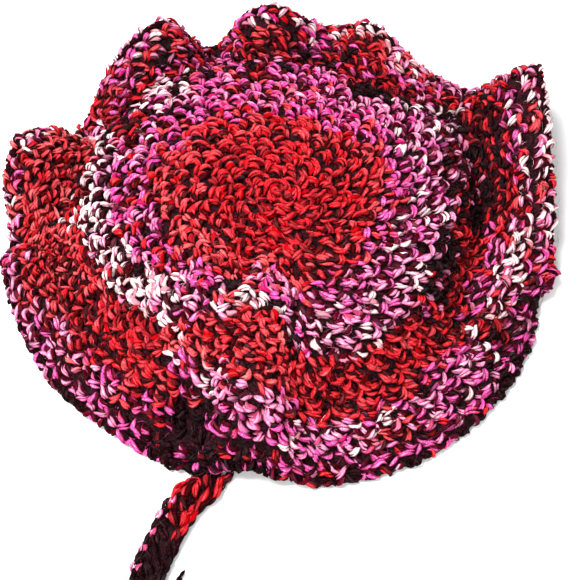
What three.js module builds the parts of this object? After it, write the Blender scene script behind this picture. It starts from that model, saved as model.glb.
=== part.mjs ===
import * as THREE from 'three';

// Crocheted bonnet lying crown up on the plane z = 0, in millimetres, +Z up.
// Its front, where the smooth part of the brim lies, faces -Y. Azimuths are in degrees from +X
// towards +Y, and radii are measured from the crown's own axis.

// Driving dimensions
const WALL = 5.5;            // thickness of the double-stranded single crochet
const CROWN_TOP = 48;        // height of the crown's middle
const MIDDLE_SHARE = 0.40;   // share of the ring's radius that the nearly flat middle takes
const MIDDLE_FALL = 0.5;     // how far the flat middle falls to its edge
const SHOULDER_SHARE = 0.76; // share of the ring's radius where the crown begins to turn down
const SHOULDER_FALL = 0.55;  // share of the fall from top to ring that the shoulder has reached
const SHOULDER_RISE = 1.5;   // how far the shoulder swells above that
const EDGING = 6.4;          // diameter of the rim's last, beaded round
const RIM_SEAM = 1.1;        // room along the face before the edging, which leaves 0.3 at the folds
const SETTLE = 2;            // height over which the brim rounds into the part that lies flat
const TIE_WIDTH = 16.5;
const TIE_THICKNESS = 7;
const TAIL_DIAMETER = 3.2;   // the two yarns' ends, left hanging from the tie
const AXIS = new THREE.Vector3(1.0, -5.2, 0); // the crown's axis, seen from the outline's middle

// Facets
const SECTORS = 96;
const CROWN_STEPS = [2, 2, 2, 3];  // along each span of the crown's profile
const BRIM_STEPS = [3, 4];         // along each span of the brim's profile
const EDGING_SIDES = 8;
const TIE_SIDES = 12;
const TAIL_SIDES = 8;

// Sections through the outer face, one for each fold or turn of the brim, in millimetres.
// ring: where the crown turns down; dip: the fold between crown and brim;
// swell: how far the brim's middle stands above the line from dip to rim; rim: the outermost edge.
const COLUMNS = ['azimuth', 'ringR', 'ringZ', 'dipR', 'dipZ', 'swell', 'rimR', 'rimZ'];
const SECTIONS = [
  [2, 85, 31, 97, 11, 5, 134, 20],
  [16, 90, 32, 102, 12, 6, 139, 33],
  [27, 94, 33, 106, 13, 5, 148, 43],
  [34, 96, 34, 107, 14, 3, 155, 46],
  [40, 95, 34, 106, 14, 0, 154, 27],
  [46, 94, 34, 105, 14, -1, 149, 4],
  [55, 91, 34, 102, 16, 2, 131, 22],
  [69, 90, 35, 101, 17, 3, 134, 37],
  [80, 91, 36, 101, 16, 0, 139, 24],
  [91, 93, 37, 103, 16, 3, 135, 41],
  [99, 94, 37, 104, 16, 2, 138, 33],
  [106, 95, 37, 106, 13, -1, 146, 3],
  [115, 96, 37, 106, 15, 3, 138, 40],
  [127, 97, 36, 107, 15, 4, 134, 40],
  [137, 98, 35, 108, 14, 2, 131, 26],
  [145, 98, 34, 108, 13, -1, 133, 3],
  [152, 98, 34, 109, 13, 1, 136, 24],
  [161, 97, 34, 108, 14, 4, 139, 36],
  [171, 95, 33, 107, 14, 4, 138, 28],
  [179, 92, 33, 105, 13, 1, 136, 3],
  [188, 90, 34, 103, 16, 4, 136, 20],
  [200, 87, 35, 100, 19, 4, 135, 9],
  [214, 84, 37, 98, 22, 3, 132, 1],
  [229, 80, 41, 97, 28, 2, 129, -2],
  [240, 77, 45, 95, 33, -1, 129, -1],
  [249, 74, 48, 93, 30, -11, 130, 2],
  [257, 72, 50, 90, 43, 10, 127, 8],
  [264, 73, 50, 91, 45, 13, 125, 10],
  [270, 76, 46, 93, 38, 9, 128, 7],
  [276, 84, 37, 97, 22, 3, 131, 1],
  [288, 88, 33, 99, 17, 2, 132, -2],
  [302, 86, 32, 98, 17, 2, 133, -2],
  [316, 83, 32, 96, 15, 2, 132, -2],
  [332, 80, 32, 93, 12, 2, 131, -1],
  [344, 79, 32, 92, 11, 4, 129, 6],
  [352, 81, 32, 94, 11, 5, 132, 13],
];

// The tie's middle line, from the rim's edge to its end, and the yarn tail that turns back from there
const TIE_ROUTE = [
  [-32.5, -128.1], [-34.2, -130.1], [-36.3, -132.3], [-38.9, -134.4], [-41.9, -138.6],
  [-44.6, -143.2], [-47.0, -148.0], [-49.2, -152.8], [-51.3, -157.6], [-53.2, -162.6],
  [-54.8, -167.6], [-56.1, -172.7], [-57.0, -177.9], [-57.4, -183.2], [-57.1, -188.5],
  [-55.9, -193.7], [-53.7, -198.6], [-50.7, -203.0], [-47.2, -207.0], [-43.4, -210.8],
  [-41.0, -213.0],
];
const TAIL_ROUTE = [
  [-40.6, -213.4], [-37.2, -216.2], [-33.2, -217.6], [-29.6, -216.2], [-28.2, -212.4],
  [-28.8, -207.8], [-30.4, -203.2], [-32.3, -198.7], [-34.3, -194.2], [-36.3, -189.7],
  [-38.3, -185.2], [-40.3, -180.8], [-42.0, -176.4], [-42.8, -173.0], [-42.0, -170.2],
  [-40.4, -167.8],
];

const column = (name) => COLUMNS.indexOf(name);

// A column of the table at any azimuth: a smooth closed curve through its rows, whose slope at a
// row is that of the line between the rows on either side.
function around(name, azimuth) {
  const count = SECTIONS.length;
  const row = (i) => SECTIONS[((i % count) + count) % count];
  const turns = (i) => 360 * Math.floor(i / count);
  const angle = (i) => row(i)[0] + turns(i);
  const value = (i) => row(i)[column(name)];
  const slope = (i) => (value(i + 1) - value(i - 1)) / (angle(i + 1) - angle(i - 1));
  let i = -1;
  while (angle(i + 1) <= azimuth) i += 1;
  const width = angle(i + 1) - angle(i);
  const t = (azimuth - angle(i)) / width;
  const rise = 3 * t ** 2 - 2 * t ** 3;
  return (1 - rise) * value(i) + rise * value(i + 1)
    + (t ** 3 - 2 * t ** 2 + t) * width * slope(i)
    + (t ** 3 - t ** 2) * width * slope(i + 1);
}

// The profile's points at one azimuth, as radius and height, from the crown's middle to the rim.
function profileAt(azimuth) {
  const of = (name) => around(name, azimuth);
  const [ringR, ringZ, dipR, dipZ] = [of('ringR'), of('ringZ'), of('dipR'), of('dipZ')];
  const [rimR, rimZ] = [of('rimR'), of('rimZ')];
  const shoulderZ = CROWN_TOP - SHOULDER_FALL * (CROWN_TOP - ringZ) + SHOULDER_RISE;
  return [
    [0, CROWN_TOP],
    [MIDDLE_SHARE * ringR, CROWN_TOP - MIDDLE_FALL],
    [SHOULDER_SHARE * ringR, shoulderZ],
    [ringR, ringZ],
    [dipR, dipZ],
    [(dipR + rimR) / 2, (dipZ + rimZ) / 2 + of('swell')],
    [rimR, rimZ],
  ];
}
const DIP = 4;  // the place of the fold between crown and brim in a profile
const RIM = 6;

// A height of the outer face once the cloth lies on the table: it never comes nearer to it than
// the wall's thickness, and turns into the flat over a short rounded stretch.
function settled(z) {
  const share = Math.max(SETTLE - Math.abs(z - WALL), 0) / SETTLE;
  return Math.max(z, WALL) + (share ** 2 * SETTLE) / 4;
}

// A point of the outer face: place runs from 0 at the crown's middle to RIM, and the curve between
// two profile points is a cubic whose slopes follow the points on either side.
function outerPoint(azimuth, place) {
  const points = profileAt(azimuth);
  const [middle, next] = points;
  const [beforeLast, last] = points.slice(RIM - 1);
  const mirrored = [-next[0], next[1]];
  const carriedOn = [2 * last[0] - beforeLast[0], 2 * last[1] - beforeLast[1]];
  const all = [mirrored, ...points, carriedOn];
  const i = Math.min(Math.floor(place), RIM - 1);
  const t = place - i;
  const blend = (k) => {
    const [a, b, c, d] = all.slice(i, i + 4).map((point) => point[k]);
    return (2 * b + (c - a) * t + (2 * a - 5 * b + 4 * c - d) * t ** 2
      + (3 * b - a - 3 * c + d) * t ** 3) / 2;
  };
  const [r, z] = place === 0 ? middle : [blend(0), blend(1)];
  const angle = THREE.MathUtils.degToRad(azimuth);
  return new THREE.Vector3(r * Math.cos(angle), r * Math.sin(angle), settled(z));
}

// The outer face's direction at a point, from four neighbouring points.
function outward(azimuth, place) {
  if (place === 0) return new THREE.Vector3(0, 0, 1);
  const [turn, run] = [0.5, 0.02];
  const low = Math.max(place - run, 0.001);
  const high = Math.min(place + run, RIM);
  const along = outerPoint(azimuth, high).sub(outerPoint(azimuth, low));
  const across = outerPoint(azimuth + turn, place).sub(outerPoint(azimuth - turn, place));
  return along.cross(across).normalize();
}

// The share of the spans on either side of the fold that half the seam's gap takes.
const SEAM = 0.012;

// A point at a depth below the outer face. The two faces of the seam between crown and brim are
// parallel, so they share the fold's own direction.
function wallPoint(azimuth, place, depth) {
  const facing = Math.abs(place - DIP) < 2 * SEAM ? DIP : place;
  const point = outerPoint(azimuth, place).addScaledVector(outward(azimuth, facing), -depth);
  point.z = Math.max(point.z, 0);
  return point;
}

// Places along a profile, with a number of steps for each span.
function places(start, steps) {
  const list = steps.flatMap((count, span) => Array.from({ length: count },
    (_, k) => start + span + k / count));
  return [...list, start + steps.length];
}

// A closed skin over sections that go round the axis. A section is a list of points that closes
// on itself, or that runs from one pole on the axis to the other. Each facet pair takes its
// shorter diagonal, so that the two faces of a seam are folded alike.
function roundSkin(sectionAt, polar) {
  const sections = Array.from({ length: SECTORS }, (_, k) => sectionAt((360 * k) / SECTORS));
  const length = sections[0].length;
  const vertices = [];
  const add = (point) => vertices.push(point) - 1;
  const top = polar ? add(sections[0][0]) : -1;
  const bottom = polar ? add(sections[0][length - 1]) : -1;
  const rows = sections.map((section) => section.map((point, k) => {
    if (polar && k === 0) return top;
    if (polar && k === length - 1) return bottom;
    return add(point);
  }));
  const faces = [];
  const face = (a, b, c) => {
    if (a !== b && b !== c && c !== a) faces.push(a, b, c);
  };
  rows.forEach((row, k) => {
    const next = rows[(k + 1) % SECTORS];
    const last = polar ? length - 1 : length;
    for (let j = 0; j < last; j += 1) {
      const after = (j + 1) % length;
      const [a, b, c, d] = [row[j], row[after], next[after], next[j]];
      const forward = vertices[a].distanceTo(vertices[c]) <= vertices[b].distanceTo(vertices[d]);
      face(a, b, forward ? c : d);
      face(forward ? a : b, c, d);
    }
  });
  const geometry = new THREE.BufferGeometry().setFromPoints(vertices);
  geometry.setIndex(faces);
  return geometry;
}

// The share of the brim's last span that a length in millimetres takes, counted from the rim.
function fromRim(azimuth, length) {
  const [middle, rim] = profileAt(azimuth).slice(RIM - 1);
  return length / Math.hypot(rim[0] - middle[0], settled(rim[1]) - settled(middle[1]));
}

function crownGeometry() {
  const outer = places(0, CROWN_STEPS);
  outer[outer.length - 1] = DIP - SEAM;
  const inner = [...outer].reverse();
  return roundSkin((azimuth) => [
    ...outer.map((place) => wallPoint(azimuth, place, 0)),
    ...inner.map((place) => wallPoint(azimuth, place, WALL)),
  ], true);
}

function brimGeometry() {
  return roundSkin((azimuth) => {
    const end = RIM - fromRim(azimuth, EDGING + RIM_SEAM);
    const start = DIP + SEAM;
    const spread = (place) => start + ((place - DIP) * (end - start)) / (RIM - DIP);
    const outer = places(DIP, BRIM_STEPS).map(spread);
    const inner = [...outer].reverse();
    return [
      ...outer.map((place) => wallPoint(azimuth, place, 0)),
      ...inner.map((place) => wallPoint(azimuth, place, WALL)),
    ];
  }, false);
}

function edgingGeometry() {
  return roundSkin((azimuth) => {
    const radius = EDGING / 2;
    const centre = wallPoint(azimuth, RIM - fromRim(azimuth, radius), WALL / 2);
    centre.z = Math.max(centre.z, radius * Math.cos(Math.PI / EDGING_SIDES));
    const angle = THREE.MathUtils.degToRad(azimuth);
    const sideways = new THREE.Vector3(Math.cos(angle), Math.sin(angle), 0);
    return Array.from({ length: EDGING_SIDES }, (_, k) => {
      const turn = Math.PI / 2 - ((k + 0.5) * 2 * Math.PI) / EDGING_SIDES;
      const point = centre.clone().addScaledVector(sideways, radius * Math.cos(turn));
      point.z = Math.max(point.z + radius * Math.sin(turn), 0);
      return point;
    });
  }, false);
}

// A rounded tube along a route on the table, wide in its plane and as thick as its height.
function tubeGeometry(route, width, thickness, sides) {
  const path = new THREE.CatmullRomCurve3(
    route.map(([x, y]) => new THREE.Vector3(x, y, thickness / 2)), false, 'centripetal');
  const section = new THREE.Shape(Array.from({ length: sides }, (_, k) => {
    const turn = ((k + 0.5) * 2 * Math.PI) / sides;
    const flat = Math.cos(Math.PI / sides);
    return new THREE.Vector2(
      (thickness / 2) * (Math.cos(turn) / flat), (width / 2) * (Math.sin(turn) / flat));
  }));
  return new THREE.ExtrudeGeometry(section, { steps: route.length * 2, extrudePath: path });
}

function yarnMaterial(colour) {
  return new THREE.MeshStandardMaterial({ color: colour, roughness: 0.95, metalness: 0 });
}

function piece(name, geometry, colour) {
  const mesh = new THREE.Mesh(geometry, yarnMaterial(colour));
  mesh.name = name;
  return mesh;
}

const bonnet = new THREE.Group();
bonnet.position.copy(AXIS);
bonnet.add(
  piece('crown', crownGeometry(), 0xc4263a),
  piece('brim', brimGeometry(), 0xa82a4c),
  piece('rim_edging', edgingGeometry(), 0x54182a),
  piece('chin_tie', tubeGeometry(TIE_ROUTE, TIE_WIDTH, TIE_THICKNESS, TIE_SIDES), 0x7c1a28),
  piece('tie_tail', tubeGeometry(TAIL_ROUTE, TAIL_DIAMETER, TAIL_DIAMETER, TAIL_SIDES), 0x2a1518),
);

export default bonnet;
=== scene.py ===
"""A crocheted bonnet that lies crown up: one yarn dyed in runs and one black yarn, worked together.

Lengths are in millimetres until a mesh is made, and azimuths in degrees from +X towards +Y.
"""

import logging
from collections.abc import Callable
from dataclasses import dataclass, field, replace
from enum import Enum

import bpy
import numpy as np
from bpy.types import Material
from mathutils import Matrix, Vector

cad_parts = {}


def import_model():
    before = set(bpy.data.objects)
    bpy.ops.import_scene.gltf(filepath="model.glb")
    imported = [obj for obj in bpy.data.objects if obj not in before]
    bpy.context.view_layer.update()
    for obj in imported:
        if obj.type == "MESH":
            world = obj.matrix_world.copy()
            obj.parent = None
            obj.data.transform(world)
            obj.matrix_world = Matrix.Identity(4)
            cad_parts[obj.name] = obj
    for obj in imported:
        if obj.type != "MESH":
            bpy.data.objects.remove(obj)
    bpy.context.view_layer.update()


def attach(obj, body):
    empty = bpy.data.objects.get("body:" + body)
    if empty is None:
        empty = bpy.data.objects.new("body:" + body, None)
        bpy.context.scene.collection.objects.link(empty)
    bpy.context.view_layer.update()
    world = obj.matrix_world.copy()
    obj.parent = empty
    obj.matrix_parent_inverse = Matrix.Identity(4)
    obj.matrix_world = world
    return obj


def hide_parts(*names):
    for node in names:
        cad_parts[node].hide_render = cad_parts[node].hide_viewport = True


MM = 0.001
BODY = "root"
AXIS = (1.0, -5.2)
UP = np.array([0.0, 0.0, 1.0])
FLOOR_GAP = 0.05
LOG = logging.getLogger("bonnet")

Array = np.ndarray
Arrays = tuple[np.ndarray, np.ndarray]
Rng = np.random.Generator
Pair = tuple[float, float]
Triple = tuple[float, float, float]
Colour = tuple[float, ...]


class Dye(Enum):
    """The colours along the dyed yarn, and the black of the plain one, as sRGB."""

    RED = ("R", (206, 4, 26))
    CORAL = ("C", (216, 52, 62))
    SALMON = ("S", (226, 84, 86))
    WINE = ("D", (160, 8, 24))
    MAGENTA = ("M", (222, 56, 158))
    PINK = ("P", (234, 132, 180))
    CREAM = ("W", (250, 226, 224))
    BLACK = ("K", (13, 3, 5))

    @property
    def letter(self) -> str:
        """The letter that stands for the dye in a run."""
        return self.value[0]

    @property
    def linear(self) -> Triple:
        """The colour as linear light."""
        shares = np.array(self.value[1]) / 255
        return tuple(np.where(shares <= 0.04045, shares / 12.92, ((shares + 0.055) / 1.055) ** 2.4))

    @staticmethod
    def number(letter: str) -> int:
        """The place of a dye among the members, by its letter."""
        return [dye.letter for dye in Dye].index(letter)


@dataclass(frozen=True)
class Run:
    """A run of the dyed yarn over part of the fabric, and how much the black yarn covers it there."""

    turns: Pair
    rounds: Pair
    dyes: str
    # The black yarn's share; in the runs at the deep folds it also stands for painted shade.
    dark: float


# Rows of the chart: the turns and rounds of a run, its dyes and the black yarn's share. A later row
# lies over an earlier one. The black-heavy rows at azimuths about 320 to 66, rounds 10 to 15, where
# the crown folds into the brim, and the K row near azimuth 250 in the brim's valley, are black yarn
# and painted shade of those folds.
CHART = (
    (0, 360, 0, 2.6, "RRD", 0.24), (0, 360, 2.6, 4.4, "RRRD", 0.24), (0, 360, 4.4, 5.9, "CCRR", 0.34),
    (0, 360, 5.9, 7.4, "RCCR", 0.42), (0, 360, 11.2, 14, "RCS", 0.4), (0, 360, 14, 19, "RCP", 0.5),
    (0, 360, 19, 20, "RCM", 0.6), (150, 243, 5.6, 7.5, "SCCR", 0.24),
    (180, 243, 7.3, 9.7, "MMPR", 0.28), (180, 233, 9.7, 11.8, "WWWP", 0.42),
    (180, 192, 11.2, 12.3, "W", 0.42), (203, 212, 9.8, 11.4, "WKC", 0.6),
    (213, 230, 8.8, 12.2, "WWWP", 0.1), (233, 243, 9, 11.3, "MWP", 0.5),
    (180, 205, 12.2, 16.5, "CRS", 0.64), (205, 243, 11.8, 16.5, "RRDC", 0.41),
    (188, 200, 16.4, 18.2, "RCC", 0.68), (200, 238, 16.5, 18.4, "MPPC", 0.48),
    (213, 229, 16.4, 18.3, "MSPM", 0.66), (188, 240, 18.2, 19.4, "MPP", 0.64),
    (242, 250, 9.8, 12.6, "RC", 0.22), (250, 272, 10.3, 14, "RCRC", 0.4),
    (244, 256, 8.2, 10.2, "WCP", 0.22), (244, 266, 5.8, 7.3, "CSR", 0.24),
    (254.5, 264, 8.8, 10.6, "W", 0.05), (252, 277, 7.2, 9, "CCPM", 0.28),
    (263, 276, 9, 10.4, "WKK", 0.62), (236, 248, 12.4, 14, "CSW", 0.22),
    (240, 250, 13.6, 15.4, "MMR", 0.58), (246, 257, 13.6, 15.8, "PWP", 0.4),
    (256, 272, 13.6, 15.2, "RSC", 0.42), (250, 264, 15.4, 17.2, "PPW", 0.44),
    (258, 274, 15, 18.2, "PPM", 0.2), (232, 245, 16.2, 19.5, "MMKR", 0.62),
    (243.5, 254, 15.9, 18.4, "K", 0.95), (241, 258, 18.3, 20, "KKDM", 0.8),
    (253, 258, 16, 18.2, "MMK", 0.5), (256, 264, 17.4, 20, "MMKR", 0.62),
    (264, 290, 18.2, 19.4, "MMR", 0.48), (286, 302, 3.5, 5, "RK", 0.55),
    (270, 278, 6.6, 9.2, "PPM", 0.2), (278, 330, 6.5, 8, "MMPC", 0.38),
    (276, 330, 8, 11.1, "PPPWM", 0.4), (310, 334, 7.2, 8.8, "MPPK", 0.58),
    (325, 360, 6, 7.4, "MMCM", 0.46), (330, 360, 7.4, 10, "PPWM", 0.5),
    (274, 322, 11.1, 14.4, "RRRC", 0.4), (320, 336, 11.4, 14.4, "RRRK", 0.6),
    (322, 338, 10.3, 11.8, "KKRM", 0.85), (328, 360, 10.4, 12.6, "KKKP", 0.9),
    (334, 360, 12.4, 14.4, "R", 0.48), (352, 362, 10.6, 13.6, "RRC", 0.56),
    (338, 346, 13.4, 14.2, "MR", 0.4), (272, 322, 14.4, 15.5, "MRRC", 0.36),
    (322, 336, 14.4, 15.6, "RRRD", 0.52), (336, 362, 14.3, 15.8, "MRMP", 0.55),
    (270, 330, 15.4, 18.2, "MPPWM", 0.34), (298, 314, 15.2, 16.6, "MKPP", 0.58),
    (288, 300, 16.8, 18.2, "CPC", 0.66), (312, 334, 16.6, 18, "PMWP", 0.48),
    (329, 336, 15.6, 17.6, "RDK", 0.72), (337, 344, 15.6, 17.3, "WWP", 0.54),
    (347, 354, 15.8, 17.9, "WWP", 0.3), (354, 362, 16.2, 18.6, "WCW", 0.35),
    (272, 332, 18.2, 19.3, "MMRP", 0.7), (322, 346, 17.8, 19.4, "MPK", 0.74),
    (344, 360, 18.2, 19.4, "MRPP", 0.44), (0, 48, 5.9, 7.4, "MMMC", 0.1),
    (0, 45, 7.3, 10.4, "PPWMM", 0.42), (10, 26, 8.9, 10.5, "PRKP", 0.62),
    (42, 66, 7.2, 8.6, "MMPP", 0.42), (42, 66, 5.6, 7.3, "MCM", 0.34), (66, 110, 5.8, 7, "MMC", 0.0),
    (66, 92, 6.3, 10.3, "MMPC", 0.28), (34, 66, 8.5, 10.6, "MPP", 0.15), (0, 12, 10.4, 14, "KKR", 0.9),
    (12, 30, 10.4, 14, "KKRP", 0.9), (30, 47, 10.4, 14, "WPM", 0.42), (47, 66, 9.9, 14, "K", 0.9),
    (66, 82, 10, 14, "MRPM", 0.4), (82, 100, 9.8, 14, "MRKM", 0.64), (0, 40, 14, 15.2, "KKD", 0.95),
    (0, 6, 14, 15.6, "RRM", 0.5), (4, 40, 15.2, 16.9, "RDK", 0.6), (0, 34, 16.7, 18, "MMR", 0.5),
    (0, 36, 17.6, 19.9, "WCWP", 0.34), (38, 50, 14, 17.6, "PWK", 0.55), (34, 48, 17.8, 20, "RPP", 0.5),
    (34, 48, 16.2, 17.8, "RRK", 0.62), (48, 60, 15.8, 20, "MPCP", 0.2),
    (50, 70, 15, 17.3, "RRDM", 0.48), (52, 70, 13.6, 15.1, "KRR", 0.8),
    (55, 72, 17.2, 18.8, "WPRC", 0.15), (52, 72, 18.5, 20, "CWP", 0.12), (70, 84, 14, 16, "MRD", 0.62),
    (70, 86, 16, 17.7, "MKR", 0.6), (72, 86, 17.6, 20, "RWCM", 0.12), (84, 100, 14, 15.5, "MMP", 0.45),
    (86, 100, 15.4, 18, "RKC", 0.57), (84, 100, 17.8, 20, "WRRM", 0.1),
    (90, 122, 6.6, 10.2, "MMPC", 0.54), (66, 110, 4.4, 6, "CCR", 0.08),
    (110, 126, 7.2, 9.6, "MMPM", 0.08), (126, 150, 7.6, 8.8, "MMC", 0.34),
    (106, 158, 5.8, 7.6, "CCM", 0.0), (122, 134, 9, 10.6, "WPP", 0.3),
    (133, 146, 8.8, 9.8, "MKKK", 0.9), (138, 152, 8.3, 9.6, "WMR", 0.44),
    (150, 180, 7.6, 9.8, "MMPR", 0.3), (152, 180, 9.7, 11.2, "WWWPK", 0.44),
    (142, 153, 9.5, 12, "DRKP", 0.66), (98, 106, 9.6, 12, "KRM", 0.8), (106, 113, 9.6, 14, "MMC", 0.4),
    (112, 126, 10.2, 14, "KKMC", 0.64), (124, 141, 10.4, 14, "WWM", 0.5),
    (140, 152, 11.5, 14, "RDW", 0.55), (150, 166, 11.2, 14, "RDKK", 0.7),
    (164, 180, 11.2, 14, "RDWR", 0.56), (100, 112, 14, 19.5, "MRPM", 0.44),
    (112, 134, 13.8, 15.7, "WWPR", 0.47), (112, 136, 15.6, 16.7, "RRM", 0.38),
    (111, 134, 16.6, 17.8, "KKP", 0.95), (112, 136, 17.5, 19, "CCCM", 0.0),
    (114, 136, 18.6, 20, "PMWC", 0.02), (135, 142, 14, 20, "RDDM", 0.6),
    (141, 149, 14, 17.3, "WWP", 0.05), (145, 153, 15, 20, "RWS", 0.42),
    (150, 186, 14, 18.7, "RCSC", 0.34), (154, 186, 18.6, 20, "PSWM", 0.46),
    (186, 352, 19.35, 20, "KKKM", 0.85), (222, 246, 19.2, 20, "KMM", 0.8),
    (347, 353, 19.2, 20, "CM", 0.4),
)
RUNS = tuple(Run((left, right), (first, last), dyes, dark)
             for left, right, first, last, dyes, dark in CHART)


@dataclass(frozen=True)
class DyeBook:
    """Reads the runs: which dye a stitch takes, and how far the black yarn covers it."""

    runs: tuple[Run, ...] = RUNS
    turn_spread: float = 1.6
    round_spread: float = 0.25
    dark_elsewhere: float = 0.6
    tone_spread: float = 0.1
    tone_limits: Pair = (0.7, 1.3)
    matted_share: Triple = (0.096, 0.010, 0.034)
    matting: Pair = (0.2, 1.8)
    paleness_share: float = 0.72

    def take(self, turn: Array, rounds: Array, rng: Rng) -> Arrays:
        """Takes a dye for each place, with a run's border blurred by a stray distance.

        Args:
            turn: Azimuths of the places.
            rounds: Their rounds.
            rng: The piece's own random numbers.

        Returns:
            Indices into the members of Dye, and the share that the black yarn covers.
        """
        stray_turn = (turn + rng.normal(0, self.turn_spread, turn.shape)) % 360
        stray_round = rounds + rng.normal(0, self.round_spread, rounds.shape)
        letters = [dye.letter for dye in Dye]
        taken = np.full(turn.shape, letters.index("K"))
        dark = np.full(turn.shape, self.dark_elsewhere)
        pick = rng.random(turn.shape)
        for run in self.runs:
            low, high = run.turns
            inside = (((stray_turn - low) % 360 < high - low) & (stray_round >= run.rounds[0])
                      & (stray_round < run.rounds[1]))
            choices = np.array([letters.index(letter) for letter in run.dyes])
            taken[inside] = choices[(pick[inside] * len(choices)).astype(int)]
            dark[inside] = run.dark
        return taken, dark

    def colours(self, taken: Array, rng: Rng) -> Array:
        """Linear colours of taken dyes, each a little lighter or darker, with a random last column.

        Args:
            taken: Indices into the members of Dye.
            rng: The piece's own random numbers.

        Returns:
            One row of red, green, blue and a random share for each place.
        """
        table = np.array([dye.linear for dye in Dye])
        tone = rng.normal(1, self.tone_spread, (taken.size, 1)).clip(*self.tone_limits)
        return np.concatenate([table[taken] * tone, rng.random((taken.size, 1))], axis=1)

    def shaded(self, taken: Array, rng: Rng) -> Array:
        """Colours of the black yarn, with the dyed one's fibres matted into it.

        Args:
            taken: The dyes beside it, as indices into the members of Dye.
            rng: The piece's own random numbers.

        Returns:
            Rows as those of colours: black plus the matted share of the dye, less what is pale in
            it, times a random share within matting.
        """
        beside = self.colours(taken, rng)
        strong = beside - self.paleness_share * beside[:, :3].min(axis=1, keepdims=True)
        least, most = self.matting
        matted = strong * (*self.matted_share, 0.0) * (least + (most - least) * beside[:, 3:])
        return self.colours(np.full(taken.shape, Dye.number("K")), rng) + matted


def unit(vectors: Array) -> Array:
    """Vectors at a length of one, apart from those of no length."""
    no_length = 1e-6
    return vectors / np.maximum(np.linalg.norm(vectors, axis=-1, keepdims=True), no_length)


def distances(points: Array) -> Array:
    """The distance along each line to its points, which follow one another on the last axis but one."""
    steps = np.linalg.norm(np.diff(points, axis=-2), axis=-1)
    return np.concatenate([np.zeros((*steps.shape[:-1], 1)), np.cumsum(steps, axis=-1)], axis=-1)


def through(points: Array, steps: int) -> Array:
    """Runs a smooth curve through points, from the second to the last but one.

    Args:
        points: The points, which follow one another on the last axis but one.
        steps: Places for each span between two points.

    Returns:
        The places, without the curve's end.
    """
    t = np.linspace(0, 1, steps, endpoint=False)[:, None]
    a, b, c, d = (points[..., k:points.shape[-2] - 3 + k, None, :] for k in range(4))
    spans = (2 * b + (c - a) * t + (2 * a - 5 * b + 4 * c - d) * t**2
             + (3 * b - a - 3 * c + d) * t**3) / 2
    return spans.reshape(*points.shape[:-2], -1, points.shape[-1])


class Face:
    """A surface that yarn lies on, read at a turn in degrees and a row."""

    def at(self, turn: Array, row: Array) -> Array:
        """Points of the surface."""
        raise NotImplementedError

    def outward(self, turn: Array, row: Array) -> Array:
        """Directions away from the fabric at places, of length one."""
        raise NotImplementedError

    def moved(self, turn: Array, row: Array, along: Array, away: Array) -> Arrays:
        """Places at true distances from others, along the row and square to it.

        With A the surface's change over one degree and R its change over one row, R is split into
        c along A and s square to it, with s at least a quarter of A's length. Going away by b takes
        b / s rows and turns back by what those rows have moved along A.

        Args:
            turn: Turns of the places, one for each line of along.
            row: Their rows.
            along: Distances along the row, a line of them for each place.
            away: Distances square to the row, towards higher rows.

        Returns:
            The turns and rows of the moved places.
        """
        step_turn, step_row, least_square = 0.4, 0.04, 0.25
        by_turn = (self.at(turn + step_turn, row) - self.at(turn - step_turn, row)) / (2 * step_turn)
        by_row = (self.at(turn, row + step_row) - self.at(turn, row - step_row)) / (2 * step_row)
        degree = np.linalg.norm(by_turn, axis=-1)
        lean = (by_row * by_turn).sum(-1) / degree
        square = np.sqrt(np.maximum((by_row**2).sum(-1) - lean**2, (least_square * degree) ** 2))
        rows = away / square[:, None]
        turns = (along - rows * lean[:, None]) / degree[:, None]
        return turn[:, None] + turns, row[:, None] + rows


# Azimuths round the axis, radius and height of the crown's ring and of the dip round it, how far the
# brim swells between dip and rim, and radius and height of the rim.
SECTIONS = np.array([
    (2, 85, 31, 97, 11, 5, 134, 20), (16, 90, 32, 102, 12, 6, 139, 33),
    (27, 94, 33, 106, 13, 5, 148, 43), (34, 96, 34, 107, 14, 3, 155, 46),
    (40, 95, 34, 106, 14, 0, 154, 27), (46, 94, 34, 105, 14, -1, 149, 4),
    (55, 91, 34, 102, 16, 2, 131, 22), (69, 90, 35, 101, 17, 3, 134, 37),
    (80, 91, 36, 101, 16, 0, 139, 24), (91, 93, 37, 103, 16, 3, 135, 41),
    (99, 94, 37, 104, 16, 2, 138, 33), (106, 95, 37, 106, 13, -1, 146, 3),
    (115, 96, 37, 106, 15, 3, 138, 40), (127, 97, 36, 107, 15, 4, 134, 40),
    (137, 98, 35, 108, 14, 2, 131, 26), (145, 98, 34, 108, 13, -1, 133, 3),
    (152, 98, 34, 109, 13, 1, 136, 24), (161, 97, 34, 108, 14, 4, 139, 36),
    (171, 95, 33, 107, 14, 4, 138, 28), (179, 92, 33, 105, 13, 1, 136, 3),
    (188, 90, 34, 103, 16, 4, 136, 20), (200, 87, 35, 100, 19, 4, 135, 9),
    (214, 84, 37, 98, 22, 3, 132, 1), (229, 80, 41, 97, 28, 2, 129, -2),
    (240, 77, 45, 95, 33, -1, 129, -1), (249, 74, 48, 93, 30, -11, 130, 2),
    (257, 72, 50, 90, 43, 10, 127, 8), (264, 73, 50, 91, 45, 13, 125, 10),
    (270, 76, 46, 93, 38, 9, 128, 7), (276, 84, 37, 97, 22, 3, 131, 1),
    (288, 88, 33, 99, 17, 2, 132, -2), (302, 86, 32, 98, 17, 2, 133, -2),
    (316, 83, 32, 96, 15, 2, 132, -2), (332, 80, 32, 93, 12, 2, 131, -1),
    (344, 79, 32, 92, 11, 4, 129, 6), (352, 81, 32, 94, 11, 5, 132, 13),
], float)


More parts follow.
